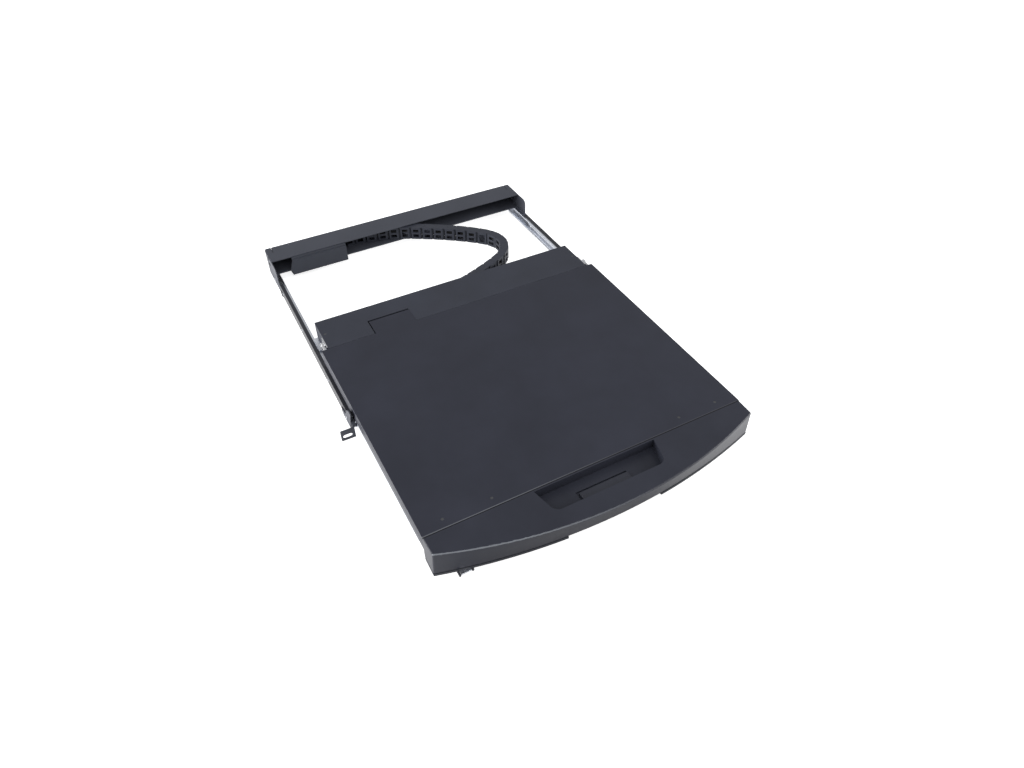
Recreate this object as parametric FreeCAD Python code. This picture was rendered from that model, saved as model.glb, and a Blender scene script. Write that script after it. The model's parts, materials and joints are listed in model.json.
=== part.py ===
"""A 1U rackmount console drawer: an LCD lid over a keyboard tray on telescopic slides.

Millimetres. X runs to the right, Y to the rear and Z up. The sizes below count from the middle of the drawer's height,
and save() moves every piece so that the origin is the middle of the rack mounting plane: the rear face of the two slotted
ears, at the height of their slots. The drawer stands partly pulled out, with its lid closed.
"""

import math
import os

import FreeCAD
import Part

# Overall frame
TOP = 21.7  # top of the lid, the rear housing and the crossbar
BOTTOM = -22.3  # underside of the rails
SHEET = 1.5  # painted steel sheet
THIN = 1.2  # slide steel and tray sheet
FIT = 0.3  # running clearance between pieces that slide past each other

# Rails and their ball slides (right-hand side, mirrored to the left)
RAIL_OUTER = 222.4  # outer face of a rail
RAIL_TOP = -3.6
RAIL_TOP_FLANGE = 5.5
RAIL_FLOOR_FLANGE = 8.5
RAIL_FRONT = 33.0
RAIL_REAR = 357.6
CABINET_DEPTH = 7.5  # how far the fixed member's lips reach inwards
CABINET_REAR = 415.3
BALL = 1.4
RACE_CLEAR = 0.1
MID_FRONT = 24.0
MID_REAR = 336.3
MID_SIDE_GAP = 1.5  # between the webs of the fixed and the middle member
MEMBER_FRONT = -178.0
MEMBER_SIDE_GAP = 1.0  # between the drawer member and the middle member's web
LEVER_Y = (174.2, 206.7)  # slot for the disconnect lever
LEVER_TRAVEL = 3.5
LEVER_OUTER = 216.2
CAGE_LENGTH = 150.0
CAGE_BALLS = 8
RIVET_R = 1.5
RIVET_Y = (42.0, 121.6, 243.1, 344.4, 390.0)

# Front brackets with the rack ears
EAR_FACE = 14.9  # rear face of the ears, the rack mounting plane
EAR_OUTER = 241.2
EAR_THICK = 2.0
EAR_HIGH = -5.5
EAR_CORNER = 1.5
SLOT_X = 232.5
SLOT_Z = -16.2
SLOT_LENGTH = 13.0
SLOT_WIDTH = 6.8
BRACKET_THICK = 1.5
BRACKET_REAR = 58.9
BRACKET_LOW_EDGE = -11.2
BRACKET_PEAK = 15.3
BRACKET_FOOT_Y = 30.4
NECK_OUTER = 225.2
CAP_LENGTH = 6.0
CAP_HIGH = -14.0

# Rear brackets and crossbar
BAR_FRONT = 387.0
BAR_REAR = 427.5
BAR_LOW = RAIL_TOP - THIN  # the crossbar lies on the fixed slide members
REAR_PLATE_FRONT = 362.7
REAR_PLATE_ROUND = 8.1
REAR_FLANGE_END = 409.3
SLIT_X = 211.7
SLIT_WIDTH = 0.8
SLIT_DEPTH = 16.2
BAR_SCREW_Y = 409.3
BAR_SCREW_R = 1.6
BAR_SCREW_HEAD_R = 2.8

# Clip-on cover at the crossbar's left part
COVER_LEFT = -190.4
COVER_RIGHT = -101.3
COVER_FACE = 382.4
COVER_LOW = -9.6
COVER_KNEE = -0.6
COVER_DROP = 1.5
COVER_BULGE = 6.1
COVER_TAB = 17.2

# Cable chain, lying on its side: a heading in degrees for each link, from the crossbar to the drawer
LINK_PITCH = 19.2
LINK_WIDTH = 13.0
LINK_HEIGHT = 22.0
LINK_LOW = -3.1
LINK_WALL = 1.5
LINK_EAR_R = 5.6
LINK_BODY_GAP = 1.8
LINK_WINDOWS = (0.17, 0.58)  # low edges of the two rows of windows, in link heights
CHAIN_START = (-77.6, 416.2)
CHAIN_HEADINGS = (
    -13, -14, -16, -20, -27, -31, -32, -34, -36, -38, -41, -46,
    -62, -88, -114, -138, -151, -156, -158, -160, -162, -164, -168, -176,
)
ANCHOR_LENGTH = 14.0
GAP_WALL = 0.7
PIVOT_R = 1.5
CABLE_R = 2.8
SOCKET_SIZE = (20.0, 14.0)  # length and height of the connector at each end of the cable

# Drawer: keyboard tray with the rear housing
TRAY_HALF = 208.7
TRAY_FLOOR = -20.5
SEAM_Y = -200.6  # front edge of the lid's flat part
HINGE_LINE_Y = 143.5  # rear edge of the lid
HOUSING_REAR = 207.7
LINE_GAP = 0.7
HOUSING_SCREWS = [(203.1, 176.3)]
HOUSING_ROUND = 1.5
PANEL_OPENING = (-35.0, 93.0)
DECK_TOP = -3.0
STANDOFF_R = 3.0

# Lid
LID_HALF = 218.5
LID_LOW = 0.4
LID_PARTING = 9.5
TONGUE_LEFT = -139.6
TONGUE_RIGHT = -78.4
TONGUE_REAR = 172.8
TONGUE_SLOT = 1.3
TONGUE_REAR_SLOT = 2.6
WINDOW_X = 342.4
WINDOW_Y = 273.5
WINDOW_CENTRE_Y = -28.4
PANEL_BORDER = 6.0

# Bowed front bezel
BEZEL_HALF_TOP = LID_HALF - 0.9
BEZEL_HALF_LOW = LID_HALF + 0.5
BEZEL_LOW = -13.0
BEZEL_CORNER_Y = -225.2
BOW_TOP = 41.4
BOW_LOW = 30.4
BEZEL_WALL = 2.5
CREST_ROUND = 1.8
BEZEL_CORNER_ROUND = 2.5
RECESS_REAR_HALF = 83.1
RECESS_FRONT_HALF = 75.0
RECESS_REAR_Y = -203.6
RECESS_FRONT_Y = -238.6
RECESS_FLOOR = 8.1
RECESS_ROUND = 11.1
LATCH_HALF = 33.4
LATCH_REAR = -221.4
LATCH_FRONT = -240.0
LATCH_THICK = 1.6
LATCH_GROOVE = 2.8
LATCH_GROOVE_DEPTH = 2.0

# Tray front: the lip under the bezel
LIP_TOP = -15.0
LIP_LOW = -18.6
FINGER_HALF_FRONT = 66.9
FINGER_HALF_REAR = 58.8
FINGER_DEPTH = 24.3
PRONG_X = (-193.0, -177.3)
PRONG_SIZE = (2.4, 7.0)
PRONG_LOW = -21.9
PRONG_REAR_Y = -237.5

# Hinges
HINGE_Y = 159.0
HINGE_Z = 16.7
HINGE_EYE_R = 4.9
HINGE_PIN_R = 2.5
PIN_CLEAR = 0.05
ARM_THICK = 3.0
ARM_INNER = 211.7
ARM_FRONT = 97.2

# Keyboard, in key pitches
KEY_PITCH = 17.6
KEY_GAP = 1.2
KEY_LOW = -6.4
KEY_TOP = -1.0
KEY_TAPER = 1.6
STEM_R = 1.8
KEY_AREA_X0 = -200.6
KEY_AREA_Y1 = 127.6
KEY_PLATE_TOP = -9.0
TOUCHPAD_HALF = 38.0
TOUCHPAD_Y = (-113.5, -62.8)
PAD_BUTTON_DEPTH = 11.0
PAD_PIECE_GAP = 0.6

# Small controls of the display
OSD_X = (129.7, 145.9, 162.1, 178.3)
OSD_Y = 125.6
OSD_R = 4.0

SCREW_R = 1.9
LID_SCREW_X = (-189.4, -128.7, 132.7, 189.4)
LID_SCREW_Y = -188.4


def vec(x, y, z):
    return FreeCAD.Vector(x, y, z)


def box(x0, x1, y0, y1, z0, z1):
    """A box between two opposite corners, given in any order."""
    x0, x1 = sorted((x0, x1))
    y0, y1 = sorted((y0, y1))
    z0, z1 = sorted((z0, z1))
    return Part.makeBox(x1 - x0, y1 - y0, z1 - z0, vec(x0, y0, z0))


def rod_x(x0, x1, y, z, radius):
    return Part.makeCylinder(radius, x1 - x0, vec(x0, y, z), vec(1, 0, 0))


def rod_z(x, y, z0, z1, radius):
    return Part.makeCylinder(radius, z1 - z0, vec(x, y, z0), vec(0, 0, 1))


def prism(points, direction):
    """A prism over a closed polygon of points, along direction."""
    return Part.Face(Part.makePolygon(points + points[:1])).extrude(direction)


def plan(points, z0, z1):
    """A prism with an outline in plan."""
    return prism([vec(x, y, z0) for x, y in points], vec(0, 0, z1 - z0))


def fuse(shapes):
    """One clean solid from touching shapes."""
    return shapes[0].multiFuse(shapes[1:]).removeSplitter()


def group(shapes):
    """Separate solids that share a node."""
    return Part.makeCompound(shapes)


def mirrored(shape):
    return shape.mirror(vec(0, 0, 0), vec(1, 0, 0))


def save(name, shape):
    """Writes a piece in the stored frame."""
    moved = shape.copy()
    moved.translate(vec(0, -EAR_FACE, -SLOT_Z))
    moved.exportStep(f"parts/{name}.step")


def save_pair(name, right):
    """The right-hand piece and its mirror image."""
    save(f"{name}_right", right)
    save(f"{name}_left", mirrored(right))


# Heights and widths of the nested slide members, from the outside in
WALL_INNER = RAIL_OUTER - THIN
BALL_ROOM = BALL + 2 * RACE_CLEAR
CABINET_HIGH = RAIL_TOP - THIN
CABINET_LOW = BOTTOM + THIN
CABINET_WEB = WALL_INNER - THIN
MID_OUTER = CABINET_WEB - MID_SIDE_GAP
MID_HIGH = CABINET_HIGH - THIN - BALL_ROOM
MID_LOW = CABINET_LOW + THIN + BALL_ROOM
MID_INNER_EDGE = WALL_INNER - CABINET_DEPTH + 0.2
MEMBER_HIGH = MID_HIGH - THIN - BALL_ROOM
MEMBER_LOW = MID_LOW + THIN + BALL_ROOM
MEMBER_OUTER = MID_OUTER - THIN - MEMBER_SIDE_GAP


def outer_rail():
    wall = box(WALL_INNER, RAIL_OUTER, RAIL_FRONT, RAIL_REAR, BOTTOM, RAIL_TOP)
    top = box(RAIL_OUTER - RAIL_TOP_FLANGE, RAIL_OUTER, RAIL_FRONT, RAIL_REAR, CABINET_HIGH, RAIL_TOP)
    floor = box(RAIL_OUTER - RAIL_FLOOR_FLANGE, RAIL_OUTER, RAIL_FRONT, RAIL_REAR, BOTTOM, CABINET_LOW)
    return fuse([wall, top, floor]).cut(rivet_holes())


def rivet_z():
    return (RAIL_TOP + BOTTOM) / 2


def rivet_holes():
    radius = RIVET_R + PIN_CLEAR
    return group([rod_x(CABINET_WEB - 2, RAIL_OUTER + 4, y, rivet_z(), radius) for y in RIVET_Y])


def rivets():
    """Shank and two flat heads; the front one also holds the front bracket."""
    made = []
    for y in RIVET_Y:
        outside = RAIL_OUTER + (BRACKET_THICK if y < BRACKET_REAR else 0)
        shank = rod_x(CABINET_WEB, outside, y, rivet_z(), RIVET_R)
        inner = rod_x(CABINET_WEB - 0.7, CABINET_WEB, y, rivet_z(), 2 * RIVET_R)
        outer = rod_x(outside, outside + 0.5, y, rivet_z(), 1.6 * RIVET_R)
        made.append(fuse([shank, inner, outer]))
    return made


def cabinet_member():
    """The fixed slide member: a channel that opens inwards."""
    solid = box(WALL_INNER - CABINET_DEPTH, WALL_INNER, RAIL_FRONT, CABINET_REAR, CABINET_LOW, CABINET_HIGH)
    room = box(
        WALL_INNER - CABINET_DEPTH - 1, CABINET_WEB, RAIL_FRONT - 1, CABINET_REAR + 1,
        CABINET_LOW + THIN, CABINET_HIGH - THIN,
    )
    return solid.cut(room).cut(rivet_holes())


def mid_member():
    """The middle slide member, which moves half as far as the drawer."""
    solid = box(MID_INNER_EDGE, MID_OUTER, MID_FRONT, MID_REAR, MID_LOW, MID_HIGH)
    room = box(
        MID_INNER_EDGE - 1, MID_OUTER - THIN, MID_FRONT - 1, MID_REAR + 1, MID_LOW + THIN, MID_HIGH - THIN
    )
    return solid.cut(room)


def drawer_member():
    """The slide member on the tray: a web against the tray wall and a hollow runner between the balls."""
    web = box(TRAY_HALF, TRAY_HALF + THIN, MEMBER_FRONT, HOUSING_REAR, MID_LOW, MID_HIGH)
    runner = box(TRAY_HALF + THIN, MEMBER_OUTER, MEMBER_FRONT, HOUSING_REAR, MEMBER_LOW, MEMBER_HIGH)
    room = box(
        TRAY_HALF + THIN, MEMBER_OUTER - THIN / 2, MEMBER_FRONT - 1, HOUSING_REAR + 1,
        MEMBER_LOW + THIN, MEMBER_HIGH - THIN,
    )
    slot = box(TRAY_HALF - 1, TRAY_HALF + THIN + 1, LEVER_Y[0], LEVER_Y[1], MEMBER_HIGH + THIN, MID_HIGH + 1)
    return fuse([web, runner]).cut(room).cut(slot)


def slide_lever():
    """The disconnect lever: a foot in the drawer member's slot and a finger tab above the rail."""
    low = MEMBER_HIGH + THIN
    tab_low = RAIL_TOP + 2 * FIT
    blade = box(TRAY_HALF + FIT, TRAY_HALF + THIN, LEVER_Y[0] + FIT, LEVER_Y[1] - LEVER_TRAVEL, low, tab_low)
    tab = box(TRAY_HALF + FIT, LEVER_OUTER, LEVER_Y[0] + FIT, LEVER_Y[1] - LEVER_TRAVEL, tab_low, tab_low + THIN)
    return fuse([blade, tab])


def ball_row(x, z, y0):
    """A cage strip and its balls, as separate solids."""
    step = CAGE_LENGTH / CAGE_BALLS
    strip = box(x - 1.2, x + 1.2, y0, y0 + CAGE_LENGTH, z - 0.25, z + 0.25)
    solids = []
    for i in range(CAGE_BALLS):
        y = y0 + (i + 0.5) * step
        strip = strip.cut(rod_z(x, y, z - 1, z + 1, BALL / 2 + PIN_CLEAR))
        solids.append(Part.makeSphere(BALL / 2, vec(x, y, z)))
    return [strip] + solids


def ball_cages():
    outer_x = (MID_INNER_EDGE + MID_OUTER) / 2
    inner_x = (MID_INNER_EDGE + MEMBER_OUTER) / 2
    outer_offset = THIN + BALL_ROOM / 2
    rows = []
    for z in (CABINET_HIGH - outer_offset, CABINET_LOW + outer_offset):
        rows += ball_row(outer_x, z, MID_FRONT + 122)
    for z in (MID_HIGH - outer_offset, MID_LOW + outer_offset):
        rows += ball_row(inner_x, z, MID_FRONT + 22)
    return group(rows)


def front_bracket():
    """The rack ear, hung from a short web in line with the rail's top, and a tapered plate outside the rail."""
    outline = (
        (EAR_FACE + 0.5, BRACKET_PEAK), (EAR_FACE + 8, BRACKET_PEAK), (EAR_FACE + 17.5, BRACKET_PEAK - 6.5),
        (EAR_FACE + 32, BRACKET_LOW_EDGE), (BRACKET_REAR, BRACKET_LOW_EDGE), (BRACKET_REAR, BOTTOM),
        (BRACKET_FOOT_Y, BOTTOM),
    )
    outside = RAIL_OUTER + BRACKET_THICK
    front = EAR_FACE - EAR_THICK
    plate = prism([vec(RAIL_OUTER, y, z) for y, z in outline], vec(BRACKET_THICK, 0, 0))
    web = box(LID_HALF + FIT, outside, front, RAIL_FRONT, CABINET_HIGH, RAIL_TOP)
    ear = box(RAIL_OUTER, EAR_OUTER, front, EAR_FACE, BOTTOM, EAR_HIGH)
    corners = [e for e in ear.Edges if abs(e.BoundBox.XMin - EAR_OUTER) < 0.01 and e.BoundBox.YLength > 1]
    ear = ear.makeFillet(EAR_CORNER, corners)
    neck = box(RAIL_OUTER, NECK_OUTER, front, EAR_FACE, EAR_HIGH, RAIL_TOP)
    return fuse([plate, web, ear, neck]).cut(rivet_holes()).cut(ear_slot())


def ear_slot():
    half = (SLOT_LENGTH - SLOT_WIDTH) / 2
    radius = SLOT_WIDTH / 2
    front = EAR_FACE - EAR_THICK - 1
    depth = EAR_THICK + 2
    slot = box(SLOT_X - half, SLOT_X + half, front, front + depth, SLOT_Z - radius, SLOT_Z + radius)
    for x in (SLOT_X - half, SLOT_X + half):
        slot = slot.fuse(Part.makeCylinder(radius, depth, vec(x, front, SLOT_Z), vec(0, 1, 0)))
    return slot


def rail_end_caps():
    """Small plastic caps on the lower outer corners of a rail, behind the bracket and at the rear end."""
    caps = []
    for y in (BRACKET_REAR + FIT, RAIL_REAR - CAP_LENGTH):
        caps.append(box(RAIL_OUTER, RAIL_OUTER + 1, y, y + CAP_LENGTH, BOTTOM, CAP_HIGH))
    return caps


BAR_TOP_UNDER = TOP - SHEET
BAR_SCREW_PLACES = [(BAR_SCREW_Y, 4.0), (BAR_SCREW_Y, 15.0)]


def rear_bracket():
    """Side plate at the rear with a rounded front corner, and the floor flange that carries on from the rail."""
    plate = box(WALL_INNER, RAIL_OUTER, REAR_PLATE_FRONT, BAR_REAR, BOTTOM, BAR_TOP_UNDER)
    corner = [
        e for e in plate.Edges
        if e.BoundBox.YMax < REAR_PLATE_FRONT + 0.01 and e.BoundBox.ZMin > BAR_TOP_UNDER - 0.01
    ]
    plate = plate.makeFillet(REAR_PLATE_ROUND, corner)
    heel = box(WALL_INNER, RAIL_OUTER, RAIL_REAR + FIT, REAR_PLATE_FRONT, BOTTOM, RAIL_TOP)
    floor = box(
        RAIL_OUTER - RAIL_FLOOR_FLANGE, RAIL_OUTER, RAIL_REAR + FIT, REAR_FLANGE_END, BOTTOM, CABINET_LOW
    )
    return fuse([plate, heel, floor]).cut(bar_screw_holes()).cut(rivet_holes())


def bar_screw_holes():
    radius = BAR_SCREW_R + PIN_CLEAR
    return group([rod_x(WALL_INNER - 5, RAIL_OUTER + 5, y, z, radius) for y, z in BAR_SCREW_PLACES])


def bar_screws():
    made = []
    for y, z in BAR_SCREW_PLACES:
        shank = rod_x(WALL_INNER - THIN, RAIL_OUTER, y, z, BAR_SCREW_R)
        head = rod_x(RAIL_OUTER, RAIL_OUTER + 1.0, y, z, BAR_SCREW_HEAD_R)
        made.append(fuse([shank, head]))
    return made


def rear_crossbar():
    """A channel that opens to the front, with end plates and a relief slit beside each rear corner."""
    top = box(-WALL_INNER, WALL_INNER, BAR_FRONT, BAR_REAR, BAR_TOP_UNDER, TOP)
    back = box(-WALL_INNER, WALL_INNER, BAR_REAR - SHEET, BAR_REAR, BAR_LOW, BAR_TOP_UNDER)
    floor = box(-WALL_INNER, WALL_INNER, BAR_FRONT + SHEET, BAR_REAR, BAR_LOW, BAR_LOW + SHEET)
    pieces = [top, back, floor]
    for sign in (-1, 1):
        pieces.append(
            box(sign * (WALL_INNER - THIN), sign * WALL_INNER, BAR_FRONT + 12, BAR_REAR, BAR_LOW, BAR_TOP_UNDER)
        )
    bar = fuse(pieces)
    slit = box(SLIT_X, SLIT_X + SLIT_WIDTH, BAR_REAR - SLIT_DEPTH, BAR_REAR + 1, BAR_TOP_UNDER - 4, TOP + 1)
    holes = bar_screw_holes()
    return bar.cut(group([slit, mirrored(slit), holes, mirrored(holes), cable_port()]))


def chain_cover():
    """A bent plate that clips over the open front of the crossbar."""
    top = BAR_TOP_UNDER - SHEET - COVER_DROP
    outline = (
        (COVER_LEFT, top), (COVER_LEFT - COVER_BULGE, COVER_KNEE), (COVER_LEFT - COVER_BULGE / 2, COVER_LOW),
        (COVER_RIGHT, COVER_LOW), (COVER_RIGHT, top),
    )
    face = prism([vec(x, COVER_FACE, z) for x, z in outline], vec(0, SHEET, 0))
    back = COVER_FACE + SHEET + COVER_TAB
    inside = COVER_FACE + SHEET
    step = box(COVER_LEFT, COVER_RIGHT, inside, inside + SHEET, top - SHEET, BAR_TOP_UNDER)
    upper = box(COVER_LEFT, COVER_RIGHT, inside, back, BAR_TOP_UNDER - SHEET, BAR_TOP_UNDER)
    lower = box(COVER_LEFT, COVER_RIGHT, COVER_FACE, back, BAR_LOW - SHEET, BAR_LOW)
    return fuse([face, step, upper, lower])


CHAIN_HIGH = LINK_LOW + LINK_HEIGHT
LINK_INNER = LINK_WIDTH / 2 - LINK_WALL
EAR_ROOM = 0.1  # between an outer ear and the inner ear beside it


def outer_ears(x):
    """The ears at a link's leading end, in the planes of its plates, with stub pivots on their inner faces."""
    pieces = []
    for low, stub in ((LINK_LOW, LINK_LOW), (CHAIN_HIGH - LINK_WALL, CHAIN_HIGH - 2 * LINK_WALL - EAR_ROOM)):
        pieces.append(box(x - LINK_PITCH / 2, x, -LINK_EAR_R, LINK_EAR_R, low, low + LINK_WALL))
        pieces.append(rod_z(x, 0, low, low + LINK_WALL, LINK_EAR_R))
        pieces.append(rod_z(x, 0, stub, stub + 2 * LINK_WALL + EAR_ROOM, PIVOT_R))
    return pieces


def inner_ears():
    """The ears at a link's trailing end, which lie inside the plates of the link before it."""
    half = LINK_INNER - 0.6
    reach = 0.42 * LINK_PITCH
    pieces = []
    for low in (LINK_LOW + LINK_WALL + EAR_ROOM, CHAIN_HIGH - 2 * LINK_WALL - EAR_ROOM):
        ear = rod_z(0, 0, low, low + LINK_WALL, half).fuse(box(0, reach, -half, half, low, low + LINK_WALL))
        pieces.append(ear.cut(rod_z(0, 0, low - 1, low + LINK_WALL + 1, PIVOT_R + PIN_CLEAR)))
        for z in (low, low - EAR_ROOM):
            pieces.append(box(0.3 * LINK_PITCH, reach, -LINK_INNER, LINK_INNER, z, z + LINK_WALL + EAR_ROOM))
    return pieces


def link_body(x0, x1):
    """A link's square tube between two places, with two rows of windows in its sides."""
    half = LINK_WIDTH / 2
    body = box(x0, x1, -half, half, LINK_LOW, CHAIN_HIGH)
    body = body.cut(box(x0 - 1, x1 + 1, -LINK_INNER, LINK_INNER, LINK_LOW + LINK_WALL, CHAIN_HIGH - LINK_WALL))
    for part in LINK_WINDOWS:
        low = LINK_LOW + part * LINK_HEIGHT
        room = box(0.26 * LINK_PITCH, 0.74 * LINK_PITCH, -half - 1, half + 1, low, low + 0.24 * LINK_HEIGHT)
        body = body.cut(room)
    return body


def ear_clearance():
    """Room in a link's plates for the outer ears of the link before it."""
    radius = LINK_EAR_R + 0.2
    lows = (LINK_LOW, CHAIN_HIGH - LINK_WALL)
    return group([rod_z(0, 0, low - 0.1, low + LINK_WALL + 0.1, radius) for low in lows])


def gap_walls():
    """Thin walls at a link's leading end that reach inside the next link and close the gap between the two."""
    low = LINK_LOW + 2 * (LINK_WALL + EAR_ROOM) + EAR_ROOM
    high = LINK_LOW + CHAIN_HIGH - low
    outside = LINK_INNER - EAR_ROOM
    walls = []
    for sign in (-1, 1):
        end = LINK_PITCH - LINK_BODY_GAP
        walls.append(box(end - 2, LINK_PITCH, sign * outside, sign * (outside - GAP_WALL), low, high))
        walls.append(box(end - 2, end, sign * LINK_INNER, sign * (outside - GAP_WALL), low, high))
    return walls


def link_shape():
    """One link at the origin, its trailing pivot at zero and its leading pivot one pitch ahead."""
    body = link_body(LINK_BODY_GAP, LINK_PITCH - LINK_BODY_GAP)
    body = fuse([body] + outer_ears(LINK_PITCH)).cut(ear_clearance())
    return fuse([body] + inner_ears() + gap_walls())


def anchor_pad(x0, x1):
    """The foot that fixes an anchor under the sheet above it."""
    half = LINK_INNER
    return box(x0, x1, -half, half, CHAIN_HIGH, BAR_TOP_UNDER)


def placed(shape, point, heading):
    shape.Placement = FreeCAD.Placement(vec(point[0], point[1], 0), FreeCAD.Rotation(vec(0, 0, 1), heading))
    return shape


def chain_anchor_fixed():
    """Half a link under the crossbar's top, with outer ears at the first pivot."""
    x0 = LINK_PITCH - ANCHOR_LENGTH
    body = link_body(x0, LINK_PITCH - LINK_BODY_GAP)
    piece = fuse([body, anchor_pad(x0, LINK_PITCH - 2 * LINK_BODY_GAP)] + outer_ears(LINK_PITCH))
    return placed(piece, (CHAIN_START[0] - LINK_PITCH, CHAIN_START[1]), 0)


def chain_anchor_moving():
    """Half a link under the housing's top, with inner ears at the last pivot."""
    body = link_body(LINK_BODY_GAP, ANCHOR_LENGTH).cut(ear_clearance())
    piece = fuse([body, anchor_pad(2 * LINK_BODY_GAP + 2, ANCHOR_LENGTH)] + inner_ears())
    return placed(piece, chain_pivots()[-1], 180)


def chain_pivots():
    points = [CHAIN_START]
    for heading in CHAIN_HEADINGS:
        x, y = points[-1]
        angle = math.radians(heading)
        points.append((x + LINK_PITCH * math.cos(angle), y + LINK_PITCH * math.sin(angle)))
    return points


def chain_links():
    shape = link_shape()
    links = []
    for point, heading in zip(chain_pivots(), CHAIN_HEADINGS):
        links.append(placed(shape.copy(), point, heading))
    return group(links)


def cable(route, radius, z):
    """Straight runs joined by tangent arcs along a route in plan."""
    points = [vec(x, y, z) for x, y in route]
    solids = []
    bends = []
    start = points[0]
    for before, corner, after in zip(points, points[1:], points[2:]):
        come = (corner - before).normalize()
        go = (after - corner).normalize()
        turn = come.getAngle(go)
        reach = 0.45 * min((corner - before).Length, (after - corner).Length)
        bend = reach / math.tan(turn / 2)
        bends.append(round(bend, 1))
        side = 1 if come.cross(go).z > 0 else -1
        begin = corner - come * reach
        centre = begin + vec(-come.y, come.x, 0) * (side * bend)
        solids.append(Part.makeCylinder(radius, (begin - start).Length, start, come))
        ring = Part.Face(Part.Wire(Part.makeCircle(radius, begin, come)))
        solids.append(ring.revolve(centre, vec(0, 0, side), math.degrees(turn)))
        start = corner + go * reach
    end = (points[-1] - start).normalize()
    solids.append(Part.makeCylinder(radius, (points[-1] - start).Length, start, end))
    print("cable bend radii in mm:", bends)
    return fuse(solids)


CABLE_Z = LINK_LOW + LINK_HEIGHT / 2
CABLE_END = LINK_PITCH - 0.5  # from the outermost pivot to the connector's face


def cable_route():
    """Points of the cable in plan, from the connector in the crossbar to the one on the control board."""
    pivots = chain_pivots()
    first = (pivots[0][0] - CABLE_END, pivots[0][1])
    last = (pivots[-1][0] - CABLE_END, pivots[-1][1])
    return [first] + pivots + [last]


def connector_block(x1, y, y1, low):
    """A connector body whose right-hand face meets the end of the cable."""
    half = CABLE_R + 2
    return box(x1 - SOCKET_SIZE[0], x1, y - half, y1, low, CABLE_Z + SOCKET_SIZE[1] / 2)


def rear_connector():
    """The console's connector against the crossbar's rear wall."""
    x, y = cable_route()[0]
    return connector_block(x, y, BAR_REAR - SHEET, CABLE_Z - SOCKET_SIZE[1] / 2)


def cable_port():
    """Opening in the crossbar's rear wall that leaves the connector's face free."""
    x = cable_route()[0][0] - SOCKET_SIZE[0] / 2
    return box(x - 8, x + 8, BAR_REAR - SHEET - 1, BAR_REAR + 1, CABLE_Z - 4.5, CABLE_Z + 4.5)


def keyboard_tray():
    """Floor pan of the drawer with its side walls and front wall."""
    inner = TRAY_HALF - THIN
    floor = box(-TRAY_HALF, TRAY_HALF, SEAM_Y + 1, HOUSING_REAR, TRAY_FLOOR, TRAY_FLOOR + THIN)
    pieces = [floor]
    for sign in (-1, 1):
        pieces.append(box(sign * inner, sign * TRAY_HALF, SEAM_Y + 1, HINGE_LINE_Y, TRAY_FLOOR, DECK_TOP - THIN))
    pieces.append(box(-TRAY_HALF, TRAY_HALF, SEAM_Y + 1, SEAM_Y + 1 + THIN, TRAY_FLOOR, DECK_TOP - THIN))
    return fuse(pieces)


def bow_y(half_width, bow, corner_y):
    """Front-most Y of the bowed edge."""
    return corner_y - bow * half_width / BEZEL_HALF_TOP


def bezel_wire(half, bow, z, inset):
    """Outline of the bezel at one height: straight back and sides, bowed front."""
    back = SEAM_Y - inset
    corner = BEZEL_CORNER_Y + inset
    side = half - inset
    front = bow_y(half, bow, BEZEL_CORNER_Y) + inset
    rear_side = LID_HALF - inset
    edges = [
        Part.makeLine(vec(-rear_side, back, z), vec(rear_side, back, z)),
        Part.makeLine(vec(rear_side, back, z), vec(side, corner, z)),
        Part.Arc(vec(side, corner, z), vec(0, front, z), vec(-side, corner, z)).toShape(),
        Part.makeLine(vec(-side, corner, z), vec(-rear_side, back, z)),
    ]
    return Part.Wire(edges)


def bezel_solid(inset, z0, z1):
    """Ruled body between the low and the high outline, cut to a height range."""
    low = bezel_wire(BEZEL_HALF_LOW, BOW_LOW, BEZEL_LOW, inset)
    high = bezel_wire(BEZEL_HALF_TOP, BOW_TOP, TOP, inset)
    body = Part.makeLoft([low, high], True, True)
    return body.common(box(-LID_HALF - 5, LID_HALF + 5, SEAM_Y - 90, SEAM_Y + 1, z0, z1))


def recess_outline(grow):
    """Plan of the handle recess: straight rear edge and a front edge with round corners."""
    return [
        (-RECESS_REAR_HALF - grow, RECESS_REAR_Y + min(grow, 1.0)),
        (RECESS_REAR_HALF + grow, RECESS_REAR_Y + min(grow, 1.0)),
        (RECESS_FRONT_HALF + grow, RECESS_FRONT_Y - grow),
        (-RECESS_FRONT_HALF - grow, RECESS_FRONT_Y - grow),
    ]


def recess_solid(grow, z0, z1):
    body = plan(recess_outline(grow), z0, z1)
    corners = [
        e for e in body.Edges if e.BoundBox.ZLength > 1 and e.BoundBox.YMax < RECESS_FRONT_Y + 1
    ]
    return body.makeFillet(RECESS_ROUND + grow, corners)


def front_bezel():
    """Hollow bowed front of the lid, with the handle recess let into its top."""
    body = bezel_solid(0, BEZEL_LOW, TOP)
    upright = [
        e for e in body.Edges
        if e.BoundBox.ZLength > TOP and abs(e.BoundBox.YMax - BEZEL_CORNER_Y) < 1
    ]
    body = body.makeFillet(BEZEL_CORNER_ROUND, upright)
    crest = [
        e for e in body.Edges
        if e.BoundBox.ZMin > TOP - 0.1 and e.BoundBox.YMin < SEAM_Y - 1
    ]
    body = body.makeFillet(CREST_ROUND, crest)
    hollow = bezel_solid(BEZEL_WALL, BEZEL_LOW, TOP - BEZEL_WALL)
    pocket = recess_solid(BEZEL_WALL, RECESS_FLOOR - BEZEL_WALL, TOP - BEZEL_WALL)
    shell = body.cut(hollow.cut(pocket))
    shell = shell.cut(recess_solid(0, RECESS_FLOOR, TOP + 1))
    return shell.cut(latch_groove()).cut(latch_slot())


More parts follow.
